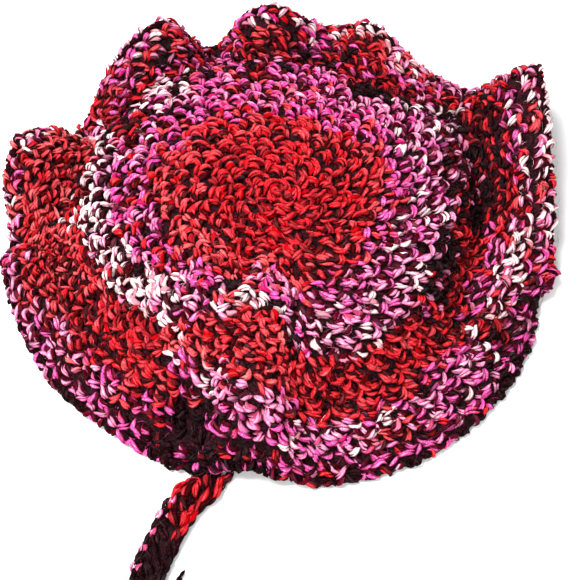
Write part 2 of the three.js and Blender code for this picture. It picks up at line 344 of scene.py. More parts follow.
@dataclass(frozen=True)
class Fabric(Face):
    """The bonnet's outer face, whose rows are its rounds of stitches.

    Round 0 is the crown's middle, crown_rounds the fold between crown and brim, crown_rounds plus
    brim_rounds the brim's end, and one more the rim.
    """

    crown_top: float = 48.0
    middle_share: float = 0.40
    middle_fall: float = 0.5
    shoulder_share: float = 0.76
    shoulder_fall: float = 0.55
    shoulder_rise: float = 1.5
    wall: float = 5.5
    settle: float = 2.0
    edging: float = 6.4
    crown_rounds: int = 14
    brim_rounds: int = 5
    sectors: int = 1440
    steps: int = 14
    curve_steps: int = 40
    fewest_stitches: int = 5
    points: Array = field(init=False, repr=False)
    normals: Array = field(init=False, repr=False)

    def __post_init__(self) -> None:
        """Works out the points and directions of the fine grid that places are read from.

        Each profile is cut into rounds of equal length along its curve, those of the crown up to
        the dip, its fifth point, and those of the brim from there to the edging. A direction is
        the cross product of the grid's steps along the profile and round the turn.
        """
        azimuth = np.arange(self.sectors) * 360.0 / self.sectors
        dense = self._curve(self._profile(azimuth))
        dip, rim = (point * self.curve_steps for point in (4, 6))
        run = distances(dense)
        crown = np.linspace(0, 1, self.crown_rounds * self.steps + 1)[:-1] * run[:, dip, None]
        end = run[:, rim, None] - self.edging
        brim = run[:, dip, None] + (np.linspace(0, 1, self.brim_rounds * self.steps + 1)[:-1]
                                    * (end - run[:, dip, None]))
        last = end + np.linspace(0, 1, self.steps + 1) * self.edging
        wanted = np.concatenate([crown, brim, last], axis=1)
        r = np.stack([np.interp(w, s, d[:, 0]) for w, s, d in zip(wanted, run, dense)])
        z = np.stack([np.interp(w, s, d[:, 1]) for w, s, d in zip(wanted, run, dense)])
        angle = np.radians(azimuth)[:, None]
        points = np.stack([r * np.cos(angle) + AXIS[0], r * np.sin(angle) + AXIS[1], z], -1)
        beside = 3
        across = np.roll(points, -beside, 0) - np.roll(points, beside, 0)
        normals = np.cross(np.gradient(points, axis=1), across)
        normals[:, 0] = UP
        object.__setattr__(self, "points", points)
        object.__setattr__(self, "normals", unit(normals))

    @property
    def brim_end(self) -> int:
        """The round at which the brim ends and the edging begins."""
        return self.crown_rounds + self.brim_rounds

    def _section(self, azimuth: Array) -> Array:
        """The section table's columns at any azimuth: cubics whose slopes follow the rows beside."""
        rows = SECTIONS.T
        x = np.concatenate([rows[0, -2:] - 360, rows[0], rows[0, :2] + 360])
        y = np.concatenate([rows[1:, -2:], rows[1:], rows[1:, :2]], axis=1)
        slope = np.zeros_like(y)
        slope[:, 1:-1] = (y[:, 2:] - y[:, :-2]) / (x[2:] - x[:-2])
        i = np.clip(np.searchsorted(x, azimuth % 360, side="right") - 1, 1, len(x) - 3)
        width = x[i + 1] - x[i]
        t = (azimuth % 360 - x[i]) / width
        rise = 3 * t**2 - 2 * t**3
        return ((1 - rise) * y[:, i] + rise * y[:, i + 1]
                + (t**3 - 2 * t**2 + t) * width * slope[:, i]
                + (t**3 - t**2) * width * slope[:, i + 1])

    def _profile(self, azimuth: Array) -> Array:
        """The seven points, as radius and height, that each profile runs through."""
        ring_r, ring_z, dip_r, dip_z, swell, rim_r, rim_z = self._section(azimuth)
        none = np.zeros_like(ring_r)
        shoulder_z = (self.crown_top - self.shoulder_fall * (self.crown_top - ring_z)
                      + self.shoulder_rise)
        return np.stack([np.stack([radius, height], -1) for radius, height in (
            (none, none + self.crown_top),
            (self.middle_share * ring_r, none + self.crown_top - self.middle_fall),
            (self.shoulder_share * ring_r, shoulder_z),
            (ring_r, ring_z),
            (dip_r, dip_z),
            ((dip_r + rim_r) / 2, (dip_z + rim_z) / 2 + swell),
            (rim_r, rim_z))], -2)

    def _curve(self, profile: Array) -> Array:
        """The smooth curve through each profile's points, rounded into the flat where it settles."""
        mirrored = profile[:, 1:2] * (-1, 1)
        carried_on = 2 * profile[:, -1:] - profile[:, -2:-1]
        points = np.concatenate([mirrored, profile, carried_on], axis=1)
        curve = np.concatenate([through(points, self.curve_steps), profile[:, -1:]], axis=1)
        share = np.maximum(self.settle - np.abs(curve[..., 1] - self.wall), 0) / self.settle
        curve[..., 1] = np.maximum(curve[..., 1], self.wall) + share**2 * self.settle / 4
        return curve

    def _read(self, grid: Array, turn: Array, row: Array) -> Array:
        """Reads a grid between its points, round the turn and along the profile."""
        x = (turn % 360) * self.sectors / 360
        short_of_end = 1.001
        y = np.clip(row * self.steps, 0, grid.shape[1] - short_of_end)
        i, j = np.floor(x).astype(int), np.floor(y).astype(int)
        u, v = (x - i)[..., None], (y - j)[..., None]
        i, after = i % self.sectors, (i + 1) % self.sectors
        return ((1 - u) * ((1 - v) * grid[i, j] + v * grid[i, j + 1])
                + u * ((1 - v) * grid[after, j] + v * grid[after, j + 1]))

    def at(self, turn: Array, row: Array) -> Array:
        """Points of the outer face."""
        return self._read(self.points, turn, row)

    def outward(self, turn: Array, row: Array) -> Array:
        """The outer face's direction at places."""
        return unit(self._read(self.normals, turn, row))

    def places(self, first: int, last: int, pitch: float, rng: Rng) -> Arrays:
        """The middles of a band's stitches, a true pitch apart along each round.

        Args:
            first: The band's first round.
            last: The round after its last.
            pitch: The width of a stitch.
            rng: The piece's own random numbers, for where each round starts.

        Returns:
            The stitches' azimuths and rounds.
        """
        azimuth = np.arange(self.sectors + 1) * 360.0 / self.sectors
        turns, rows = [], []
        for number in range(first, last):
            ring = self.at(azimuth, np.full(azimuth.shape, number + 0.5))
            run = distances(ring)
            count = max(int(round(run[-1] / pitch)), self.fewest_stitches)
            shares = ((np.arange(count) + rng.random()) / count) % 1
            turns.append(np.interp(shares * run[-1], run, azimuth))
            rows.append(np.full(count, number + 0.5))
        return np.concatenate(turns), np.concatenate(rows)


@dataclass(frozen=True)
class Lining(Face):
    """The fabric's inner face, a wall's thickness behind the outer one."""

    fabric: Fabric

    def at(self, turn: Array, row: Array) -> Array:
        """Points of the inner face."""
        return self.fabric.at(turn, row) - self.fabric.wall * self.fabric.outward(turn, row)

    def outward(self, turn: Array, row: Array) -> Array:
        """The inner face's direction at places."""
        return -self.fabric.outward(turn, row)

    def moved(self, turn: Array, row: Array, along: Array, away: Array) -> Arrays:
        """Places as the outer face has them, because this one closes up behind a sharp bend."""
        return self.fabric.moved(turn, row, along, away)


@dataclass(frozen=True)
class RimRing(Face):
    """The round edge of the rim: a row is one turn about its own middle line, from the top outwards."""

    fabric: Fabric
    radius: float = 3.2
    flat_share: float = 0.924

    def middle(self, turn: Array) -> Array:
        """The edging's middle line, half the edging in from the rim and half a wall deep."""
        row = np.full(np.shape(turn), self.fabric.brim_end + 0.5)
        line = self.fabric.at(turn, row) - self.fabric.wall / 2 * self.fabric.outward(turn, row)
        line[..., 2] = np.maximum(line[..., 2], self.radius * self.flat_share)
        return line

    def at(self, turn: Array, row: Array) -> Array:
        """Points of the edging's skin."""
        return self.middle(turn) + self.radius * self.outward(turn, row)

    def outward(self, turn: Array, row: Array) -> Array:
        """Directions from the middle line: radial and upright parts of the row's turn."""
        sideways, about = np.radians(turn), 2 * np.pi * row
        return np.stack([np.cos(sideways) * np.sin(about), np.sin(sideways) * np.sin(about),
                         np.cos(about)], -1)


@dataclass(frozen=True)
class CordFace(Face):
    """A flat cord's skin: its turn goes about its middle line from the top, its row along it."""

    route: Array
    width: float
    thickness: float
    pitch: float
    taper: float
    tip_size: float = 0.25
    tip_power: float = 0.5
    tuck: float = 0.0
    curve_steps: int = 8
    line: Array = field(init=False, repr=False)
    run: Array = field(init=False, repr=False)

    def __post_init__(self) -> None:
        """Rounds the route with a cubic through each four points and measures along it."""
        p = np.concatenate([2 * self.route[:1] - self.route[1:2], self.route,
                            2 * self.route[-1:] - self.route[-2:-1]])
        line = np.concatenate([through(p, self.curve_steps), self.route[-1:]])
        object.__setattr__(self, "line", line)
        object.__setattr__(self, "run", distances(line))

    @property
    def rows(self) -> float:
        """The number of rows along the cord."""
        return self.run[-1] / self.pitch

    def middle(self, row: Array) -> tuple[Array, Array, Array]:
        """The middle line, the direction across it and the share of its full size, at rows."""
        s = np.clip(row * self.pitch, 0, self.run[-1])
        back = np.minimum(row * self.pitch, 0)[..., None]
        early, reach = 4, 2.0
        start = (self.line[early] - self.line[0]) / self.run[early] * (1, 1, 0)
        where = self._on_line(s) + back * start
        ahead = self._on_line(s + reach) - self._on_line(s - reach)
        ahead[..., 2] = 0
        across = np.cross(UP, unit(ahead))
        left = np.clip((self.run[-1] - s) / self.taper, 0, 1)
        where[..., 2] *= self._height(s)
        return where, across, self.tip_size + (1 - self.tip_size) * (1 - (1 - left) ** 2) ** self.tip_power

    def _on_line(self, run: Array) -> Array:
        """Points of the rounded route at distances along it."""
        return np.stack([np.interp(run, self.run, self.line[:, k]) for k in range(3)], -1)

    def _height(self, run: Array) -> Array:
        """The share of its full thickness: half at its start, where it goes under the rim."""
        out = np.clip(run / max(self.tuck, 0.01), 0, 1)
        return 0.5 + 0.5 * out * out * (3 - 2 * out) if self.tuck else np.ones(run.shape)

    def at(self, turn: Array, row: Array) -> Array:
        """Points of an oval section about the middle line."""
        where, across, size = self.middle(row)
        about = np.radians(turn)[..., None]
        half = size[..., None] / 2
        thickness = self.thickness * self._height(np.clip(row * self.pitch, 0, self.run[-1]))
        return (where + across * np.sin(about) * self.width * half
                + UP * np.cos(about) * thickness[..., None] * half)

    def outward(self, turn: Array, row: Array) -> Array:
        """Directions square to the oval."""
        _, across, _ = self.middle(row)
        about = np.radians(turn)[..., None]
        return unit(across * np.sin(about) * self.thickness + UP * np.cos(about) * self.width)


@dataclass
class Skin:
    """The points, faces, strand coordinates and dyes of a mesh in the making."""

    points: Array
    quads: Array
    triangles: Array
    quad_uv: Array
    triangle_uv: Array
    dye: Array

    @staticmethod
    def joined(skins: "list[Skin]") -> "Skin":
        """Several skins as one, each one's faces counted on from the points before."""
        starts = np.cumsum([0] + [len(skin.points) for skin in skins[:-1]])
        parts = zip(*((skin.points, skin.quads + start, skin.triangles + start, skin.quad_uv,
                       skin.triangle_uv, skin.dye) for skin, start in zip(skins, starts)))
        return Skin(*map(np.concatenate, parts))

    @staticmethod
    def sheet(grid: Array, poles: bool) -> "Skin":
        """A closed black skin over sections that go round: each runs pole to pole, or closes on itself.

        Args:
            grid: Points by sector and by place in the section.
            poles: Whether the sections' two ends are single points on the axis.

        Returns:
            The skin, its faces outwards.
        """
        sectors, length = grid.shape[:2]
        number = np.arange(sectors * length).reshape(sectors, length)
        after = np.roll(number, -1, axis=0)
        triangles = np.zeros((0, 3), int)
        if poles:
            here, there, top = number[:, 1:-1], after[:, 1:-1], np.zeros(sectors, int)
            quads = np.stack([here[:, :-1], here[:, 1:], there[:, 1:], there[:, :-1]], -1)
            triangles = np.concatenate([
                np.stack([top, here[:, 0], there[:, 0]], -1),
                np.stack([top + length - 1, there[:, -1], here[:, -1]], -1)])
        else:
            quads = np.stack([number, np.roll(number, -1, 1), np.roll(after, -1, 1), after], -1)
        quads = quads.reshape(-1, 4)
        used, renumbered = np.unique(np.concatenate([quads.ravel(), triangles.ravel()]),
                                     return_inverse=True)
        quads, triangles = (renumbered[:quads.size].reshape(-1, 4),
                            renumbered[quads.size:].reshape(-1, 3))
        uv = np.stack([np.full(used.shape, 0.5), used % length / length], -1)
        dye = np.tile([*Dye.BLACK.linear, 0.5], (len(used), 1))
        return Skin(grid.reshape(-1, 3)[used], quads, triangles, uv[quads], uv[triangles], dye)


@dataclass(frozen=True)
class Winding:
    """How lengths of yarn wind about their lines: a distance, a starting angle and a turn."""

    offset: float
    phase: Array
    twist: Array

    def shift(self, t: Array) -> Arrays:
        """Offset times the cosine and the sine of phase + twist (t - 1/2): sideways and upwards."""
        angle = self.phase[:, None] + self.twist[:, None] * (t - 0.5)
        return self.offset * np.cos(angle), self.offset * np.sin(angle)


@dataclass
class Strands:
    """Many short lengths of yarn laid on a face, one line of each array for each length.

    A length runs from start to end in its stitch's own frame, bowed sideways and arched up from
    the depth of its ends, and may wind about that line.
    """

    face: Face
    turn: Array
    row: Array
    start: Array
    end: Array
    bow: Array
    base: Array
    rise: Array
    half_width: Array
    dye: Array
    windings: tuple[Winding, ...] = ()
    curl: float | Array = 0.0
    lean: float | Array = 1.0
    dye_end: Array | None = None
    thickness_share: float = 0.8
    fullness: float = 1.1
    lobe: float = 0.0
    lobe_twist: float = 1.6
    lobe_turn: float = 6.3
    arch_power: float = 0.8

    def skin(self, rings: int, sides: int) -> Skin:
        """Sweeps each length as a closed leaf shape.

        The line at share t is start + (end - start) t, plus bow sin(pi t) + curl sin(2 pi t) to
        the left, at height base + rise sin(pi t)^arch_power, and each winding is added to it. The
        half width at t goes as sin(pi t^lean)^fullness. Points of a ring stand out and in by turns,
        by a share lobe, and those lobes turn by lobe_twist along the length.

        Args:
            rings: The rings of points along each length between its two tips.
            sides: The points in a ring.

        Returns:
            The skin of all lengths.
        """
        count = len(self.turn)
        t = np.linspace(0, 1, rings + 2)[None]
        arch = np.sin(np.pi * t)
        way = self.end - self.start
        length = np.linalg.norm(way, axis=-1)
        left = np.stack([-way[:, 1], way[:, 0]], -1) / length[:, None]
        curl, lean = (np.broadcast_to(value, (count,))[:, None] for value in (self.curl, self.lean))
        sideways = self.bow[:, None] * arch + curl * np.sin(2 * np.pi * t)
        height = self.base[:, None] + self.rise[:, None] * arch**self.arch_power
        for winding in self.windings:
            beside, above = winding.shift(t)
            sideways, height = sideways + beside, height + above
        along = self.start[:, :1] + way[:, :1] * t + left[:, :1] * sideways
        away = self.start[:, 1:] + way[:, 1:] * t + left[:, 1:] * sideways
        turn, row = self.face.moved(self.turn, self.row, along, away)
        outward = self.face.outward(turn, row)
        line = self.face.at(turn, row) + outward * height[..., None]
        ahead = unit(np.gradient(line, axis=1))
        across = unit(np.cross(outward, ahead))
        upward = np.cross(ahead, across)
        swell = np.sin(np.pi * t**lean).clip(0) ** self.fullness
        half = (self.half_width[:, None] * swell)[:, 1:-1, None, None]
        turned = (self.lobe_twist * (t[0, 1:-1, None, None] - 0.5)
                  + self.dye[:, 3, None, None, None] * self.lobe_turn)
        about = (np.arange(sides) / sides * 2 - 0.5)[:, None] * np.pi + turned * (self.lobe > 0)
        lobed = half * (1 + self.lobe * (-1) ** np.arange(sides))[:, None]
        ring = (line[:, 1:-1, None]
                + lobed * np.cos(about) * across[:, 1:-1, None]
                + lobed * np.sin(about) * self.thickness_share * upward[:, 1:-1, None])
        points = np.concatenate([line[:, :1], ring.reshape(count, -1, 3), line[:, -1:]], axis=1)
        points[..., 2] = np.maximum(points[..., 2], FLOOR_GAP)
        return self._faced(points, t[0], rings, sides)

    def _faced(self, points: Array, t: Array, rings: int, sides: int) -> Skin:
        """Gives the swept points their faces, strand coordinates as shares, and dyes."""
        count, size = points.shape[:2]
        ring, side = np.meshgrid(np.arange(rings - 1), np.arange(sides), indexing="ij")
        ring, side = ring[..., None] + (0, 0, 1, 1), side[..., None] + (0, 1, 1, 0)
        quads = 1 + ring * sides + side % sides
        quad_uv = np.stack([t[1 + ring], side / sides], -1).reshape(-1, 4, 2)
        edge, last = np.arange(sides)[:, None], size - 1 - sides
        tip, near, far = np.zeros((sides, 1), int), 1 + edge, 1 + (edge + 1) % sides
        triangles = np.concatenate([
            np.concatenate([tip, far, near], -1),
            np.concatenate([last - 1 + near, last - 1 + far, tip + size - 1], -1)])
        triangle_uv = np.stack([
            np.repeat([(0, t[1], t[1]), (t[-2], t[-2], 1)], sides, axis=0),
            np.concatenate([edge + (0.5, 1, 0), edge + (0, 1, 0.5)]) / sides], -1)
        starts = (np.arange(count) * size)[:, None, None]
        passed = np.concatenate([[0.0], np.repeat(t[1:-1], sides), [1.0]])[None, :, None]
        far_dye = self.dye if self.dye_end is None else self.dye_end
        dye = self.dye[:, None] * (1 - passed) + far_dye[:, None] * passed
        return Skin(
            points.reshape(-1, 3),
            (starts + quads.reshape(1, -1, 4)).reshape(-1, 4),
            (starts + triangles[None]).reshape(-1, 3),
            np.tile(quad_uv, (count, 1, 1)),
            np.tile(triangle_uv, (count, 1, 1)),
            dye.reshape(-1, 4))


@dataclass(frozen=True)
class Leg:
    """One visible part of a stitch, as shares of the stitch's width and height."""

    start: Pair
    end: Pair
    bow: float
    sink: float
    rise: float
    stray: float = 1.0


@dataclass(frozen=True)
class Hand:
    """How unevenly the stitches are worked: spreads in millimetres, radians or shares."""

    shift: float = 0.5
    middle: float = 0.45
    length: float = 0.1
    bow: float = 0.6
    curl: float = 0.5
    lift: float = 0.3
    tip: float = 0.45
    lie: float = 0.7
    twist: float = 0.9
    ply_twist: float = 0.5
    ply_rise: float = 0.15
    black_rise: float = 0.2
    ply_width: float = 0.12
    black_width: float = 0.1


@dataclass(frozen=True)
class Stitch:
    """A single crochet in two yarns: how wide it is, and the parts of it that show."""

    width: float
    height: float
    legs: tuple[Leg, ...]
    fill: tuple[Leg, ...] = ()
    half_width: float = 0.96
    ply_gap: float = 0.58
    black_half_width: float = 1.1
    fill_half_width: float = 1.3
    gap: float = 1.15
    twist: float = 1.4
    ply_twist: float = 2.2
    black_lie: float = 1.2
    even_share: float = 0.62
    share_lift: float = 1.2
    both_dyed_below: float = 0.45
    change_share: float = 0.4
    # Fill lengths deep in the fabric that show their dye get it darkened by this, as painted shade.
    fill_painted_shade: Triple = (0.5, 0.3, 0.35)
    turn_spread: float = 0.24
    rings: int = 6
    plies: int = 2
    ply_lean: Pair = (0.7, 1.45)
    ply_fullness: float = 0.9
    black_lean: Pair = (0.7, 1.4)
    lobe: float = 0.16
    cover_power: float = 1.5
    degrees_a_millimetre: float = 0.6
    most_stretch: float = 1.35
    broadening: float = 0.7
    looseness: float = 1.0
    hand: Hand = Hand()

    def worked(self, face: Face, turn: Array, row: Array, dye_row: Array, dyes: DyeBook,
               rng: Rng) -> Skin:
        """Works the stitch at every place, each leg as a dyed and a black length side by side.

        The dyed length is its plies, which wind about each other and end apart. Legs are drawn out
        and broadened where the rows lie further apart than the stitch is high. The more of the
        black yarn shows, the higher it lies and the lower the dyed one, and where the black yarn's
        share is small some lengths of it are dyed too.

        Args:
            face: The surface that the stitches lie in.
            turn: The turns of the stitches' middles.
            row: Their rows on the face.
            dye_row: The rounds at which the dyes are read.
            dyes: The dye runs.
            rng: The piece's own random numbers.

        Returns:
            The skin of every length.
        """
        skins = []
        count = len(turn)
        hand, loose = self.hand, self.looseness
        shift = rng.normal(0, hand.shift * loose, (count, 2))
        reach = 0.4
        apart = np.linalg.norm(face.at(turn, row + reach) - face.at(turn, row - reach), axis=-1)
        drawn = (apart / (2 * reach) / self.height).clip(1.0, self.most_stretch)
        stretch = np.stack([np.ones(count), drawn], -1)
        broad = 1 + self.broadening * (drawn - 1)
        for leg in self.legs:
            start, end = (tip * stretch + shift for tip in self._loosened(leg, count, rng))
            middle = (start + end) / 2
            place = (turn + middle[:, 0] * self.degrees_a_millimetre,
                     dye_row + middle[:, 1] / self.height)
            taken, dark = dyes.take(*place, rng)
            later = np.where(rng.random(count) < self.change_share, dyes.take(*place, rng)[0], taken)
            phase = (rng.normal(0.5 * np.pi - self.black_lie, hand.lie, count)
                     * rng.choice((-1, 1), count))
            twist = rng.normal(self.twist, hand.twist, count)
            bow = leg.bow + rng.normal(0, hand.bow * loose, count)
            curl = rng.normal(0, hand.curl * loose, count)
            base = leg.sink + rng.normal(0, hand.lift * loose, count)
            both = rng.random(count) < np.maximum(self.both_dyed_below - dark, 0) * 2
            ply_phase = rng.uniform(0, 2 * np.pi, count)
            ply_twist = rng.normal(self.ply_twist, hand.ply_twist, count)
            lift = (dark - self.even_share) * self.share_lift
            for ply in range(self.plies):
                tip = rng.normal(0, hand.tip * loose, (2, count, 2))
                ply_turn = Winding(self.ply_gap, ply_phase + 2 * np.pi * ply / self.plies, ply_twist)
                skins.append(Strands(
                    face, turn, row, start + tip[0], end + tip[1], bow, base,
                    rise=leg.rise - lift + rng.normal(0, hand.ply_rise, count),
                    half_width=self.half_width * broad * rng.normal(1, hand.ply_width, count),
                    dye=dyes.colours(taken, rng), dye_end=dyes.colours(later, rng),
                    windings=(Winding(self.gap, phase, twist), ply_turn), curl=curl,
                    lean=rng.uniform(*self.ply_lean, count), fullness=self.ply_fullness,
                ).skin(self.rings, 4))
            skins.append(Strands(
                face, turn, row, start, end, bow, base,
                rise=leg.rise + lift + rng.normal(0, hand.black_rise, count),
                half_width=self.black_half_width * broad * rng.normal(1, hand.black_width, count),
                dye=np.where(both[:, None], dyes.colours(taken, rng), dyes.shaded(taken, rng)),
                windings=(Winding(self.gap, phase + np.pi, twist),), curl=curl,
                lean=rng.uniform(*self.black_lean, count), lobe=self.lobe).skin(self.rings - 1, 6))
        for leg in self.fill:
            start, end = (tip * stretch for tip in self._loosened(leg, count, rng))
            taken, dark = dyes.take(turn, dye_row, rng)
            covered = rng.random((count, 1)) < dark[:, None] ** self.cover_power
            # An uncovered fill length takes its dye darkened as painted shade.
            skins.append(Strands(
                face, turn, row, start, end, bow=rng.normal(0, hand.bow, count),
                base=leg.sink + rng.normal(0, hand.lift, count), rise=np.full(count, leg.rise),
                half_width=self.fill_half_width * broad * rng.normal(1, hand.black_width, count),
                dye=np.where(covered, dyes.shaded(taken, rng),
                             dyes.colours(taken, rng) * (*self.fill_painted_shade, 1.0))).skin(3, 4))
        return Skin.joined(skins)

    def _loosened(self, leg: Leg, count: int, rng: Rng) -> Arrays:
        """The leg's two ends in every stitch, turned, stretched and shifted a little by hand."""
        cell = np.array([self.width, self.height])
        start, end = np.array(leg.start) * cell, np.array(leg.end) * cell
        middle = (start + end) / 2 + rng.normal(0, self.hand.middle * self.looseness, (count, 2))
        half = (end - start) / 2 * rng.normal(1, self.hand.length, (count, 1))
        turned = rng.normal(0, self.turn_spread * leg.stray, count)
        half = np.stack([half[:, 0] * np.cos(turned) - half[:, 1] * np.sin(turned),
                         half[:, 0] * np.sin(turned) + half[:, 1] * np.cos(turned)], -1)
        return middle - half, middle + half


def arithmetic(operation: str, turned_round: bool = False) -> Callable:
    """The method of Shade that adds a Math node on itself and another value, or the other way round."""
    def method(shade: "Shade", other: "Shade | float") -> "Shade":
        """The operation's outcome."""
        return shade.sheet.math(operation, *((other, shade) if turned_round else (shade, other)))
    return method


class Shade:
    """A shader socket that takes part in Python arithmetic, each operation adding its Math node."""

    def __init__(self, sheet: "NodeSheet", socket: bpy.types.NodeSocket) -> None:
        """Wraps a socket of a node sheet."""
        self.sheet = sheet
        self.socket = socket

    def also(self, output: str) -> "Shade":
        """Another output of the same node."""
        return Shade(self.sheet, self.socket.node.outputs[output])

    __add__ = arithmetic("ADD")
    __mul__ = arithmetic("MULTIPLY")
    __sub__ = arithmetic("SUBTRACT")
    __rsub__ = arithmetic("SUBTRACT", True)


class NodeSheet:
    """The shader nodes of one finish."""

    def __init__(self, name: str) -> None:
        """Starts an empty material of that name."""
        self.material = bpy.data.materials.new(name)
        self.material.use_nodes = True
        self.tree = self.material.node_tree
        self.tree.nodes.clear()

    def node(self, kind: str, settings: dict | None = None, sockets: dict | None = None,
             output: int | str = 0) -> Shade:
        """Adds a node.

        Args:
            kind: The node's type.
            settings: Its properties, set first.
            sockets: Values or links by the input's name or number.
            output: The output that is wanted.

        Returns:
            That output.
        """
        made = self.tree.nodes.new(kind)
        for name, value in (settings or {}).items():
            setattr(made, name, value)
        for key, value in (sockets or {}).items():
            if isinstance(value, Shade):
                self.tree.links.new(value.socket, made.inputs[key])
            else:
                made.inputs[key].default_value = value
        return Shade(self, made.outputs[output])

    def math(self, operation: str, *values: Shade | float) -> Shade:
        """A Math node on values."""
        return self.node("ShaderNodeMath", {"operation": operation}, dict(enumerate(values)))

    def mixed(self, share: Shade | float, low: object, high: object, blend: str = "MIX") -> Shade:
        """Two colours mixed by a share."""
        return self.node("ShaderNodeMix", {"data_type": "RGBA", "blend_type": blend},
                         {0: share, 6: low, 7: high}, 2)

    def ranged(self, value: Shade, low: float, high: float, start: float = 0.0,
               end: float = 1.0) -> Shade:
        """Goes from start to end while a value goes from low to high, and stays there beyond."""
        return self.node("ShaderNodeMapRange", None, {0: value, 1: low, 2: high, 3: start, 4: end})

    def noise(self, place: Shade, **sockets: float) -> Shade:
        """A noise read at a place."""
        return self.node("ShaderNodeTexNoise", None, {"Vector": place, **sockets})

    def bump(self, height: Shade, strength: float, distance: float) -> Shade:
        """The surface's direction over a height."""
        return self.node("ShaderNodeBump", None,
                         {"Strength": strength, "Distance": distance, "Height": height})

    def finished(self, sockets: dict) -> Material:
        """Ends the sheet in one Principled shader with those sockets."""
        shader = self.node("ShaderNodeBsdfPrincipled", None, sockets)
        output = self.tree.nodes.new("ShaderNodeOutputMaterial")
        self.tree.links.new(shader.socket, output.inputs["Surface"])
        return self.material


@dataclass(frozen=True)
class YarnFinish:
    """Soft wool-like yarn with painted shade and a painted highlight: each length is darker at its ends,
    sides and underside, and lit at its top middle, where it is streaked with pale fibres.

    The first two colours, for dyes with little and with much blue, multiply the dye as painted shade,
    and top multiplies it into the lit colour. Pale is what its streaks and its painted highlight turn
    to, and fleck is added where a fibre of the other yarn is matted in.
    """

    name: str = "dyed_and_black_yarn"
    streaks: float = 5.0
    winding: float = 0.5
    stretch: float = 1.5
    roughness: float = 0.85
    shine: float = 0.03
    # Painted shade factors for a length's ends and sides, then the factor for its lit top.
    painted_shade_red: Colour = (0.46, 0.05, 0.11, 1)
    painted_shade_pink: Colour = (0.52, 0.27, 0.34, 1)
    top: Colour = (0.82, 0.8, 0.82, 1)
    pale: Colour = (1.0, 0.9, 0.92, 1)
    fleck: Colour = (0.038, 0.005, 0.009, 1)

    def made(self) -> Material:
        """The finish as a material, its dye and tone read from the piece's own attribute."""
        sheet = NodeSheet(self.name)
        dye = sheet.node("ShaderNodeAttribute", {"attribute_name": "dye"})
        tone = dye.also("Alpha")
        uv = sheet.node("ShaderNodeUVMap", {"uv_map": "strand"})
        along = sheet.node("ShaderNodeSeparateXYZ", None, {0: uv})
        about = along.also("Y")
        fibre_place = sheet.node("ShaderNodeCombineXYZ", None, {
            0: along * self.stretch, 1: (about + along * self.winding) * self.streaks, 2: tone * 60.0})
        fibre = sheet.noise(fibre_place, Scale=1.0, Detail=2.0, Roughness=0.6)
        # Painted shade: a length is lit only at its top middle and darkens towards its sides and ends.
        painted_lit_top = sheet.ranged(sheet.math("ABSOLUTE", about - 0.5), 0.08, 0.26, 1.0, 0.0)
        middle = sheet.ranged(along * (1 - along), 0.05, 0.24) * painted_lit_top
        streak = sheet.ranged(fibre, 0.45, 0.66)
        red = sheet.node("ShaderNodeSeparateColor", None, {0: dye})
        blue = red.also("Blue")
        # The painted shade colour: the dye darkened, redder for dyes with little blue.
        deep = sheet.mixed(1.0, dye, sheet.mixed(blue, self.painted_shade_red, self.painted_shade_pink), "MULTIPLY")
        plain = sheet.mixed(1.0, dye, self.top, "MULTIPLY")
        # The pale colour of the fibre streaks, which is also the painted highlight.
        pale = sheet.mixed(blue * 0.55 + red * 0.08 + 0.02, plain, self.pale)
        fluff = sheet.noise(sheet.node("ShaderNodeTexCoord", output="Object"),
                            Scale=1300.0, Detail=2.0, Distortion=1.0)
        flecks = sheet.ranged(fluff, 0.52, 0.61, 0.0, 0.9)
        # Painted shade at the ends and sides, the lit colour at the top middle.
        body = sheet.mixed(middle, deep, plain)
        # Painted highlight: the lit top middle goes at least 0.12 of the way to pale, further along fibre
        # streaks.
        colour = sheet.mixed(sheet.math("MAXIMUM", streak * 1.1, 0.12) * middle, body, pale)
        colour = sheet.mixed(flecks * (1 - red) * (tone * 1.3 + 0.35), colour,
                             sheet.mixed(1.0, dye, self.fleck, "ADD"))
        return sheet.finished({"Base Color": colour, "Roughness": self.roughness,
                               "Normal": sheet.bump(fibre + fluff * 0.5, 1.0, 0.0007),
                               "Specular IOR Level": self.shine})


@dataclass(frozen=True)
class CoreFinish:
    """The dark depth of the fabric, between and under the stitches that show."""

    name: str = "fabric_depth"
    roughness: float = 0.95
    shine: float = 0.1
    colour: Colour = (0.0015, 0.0008, 0.001, 1)
    fibre_colour: Colour = (0.056, 0.007, 0.014, 1)

    def made(self) -> Material:
        """The finish as a material, matted fibres in the object's own space."""
        sheet = NodeSheet(self.name)
        matted = sheet.noise(sheet.node("ShaderNodeTexCoord", output="Object"),
                             Scale=620.0, Detail=3.0, Distortion=2.0)
        fibres = sheet.ranged(matted, 0.46, 0.66)
        return sheet.finished({"Base Color": sheet.mixed(fibres, self.colour, self.fibre_colour),
                               "Roughness": self.roughness,
                               "Normal": sheet.bump(matted, 0.8, 0.0008),
                               "Specular IOR Level": self.shine})


@dataclass(frozen=True)
class HaloFinish:
    """Loose fibres that stand off the yarn."""

    name: str = "loose_fibres"
    roughness: float = 0.9

    def made(self) -> Material:
        """The finish as a material, its dye read from the piece's own attribute."""
        sheet = NodeSheet(self.name)
        dye = sheet.node("ShaderNodeAttribute", {"attribute_name": "dye"})
        return sheet.finished({"Base Color": dye, "Roughness": self.roughness})


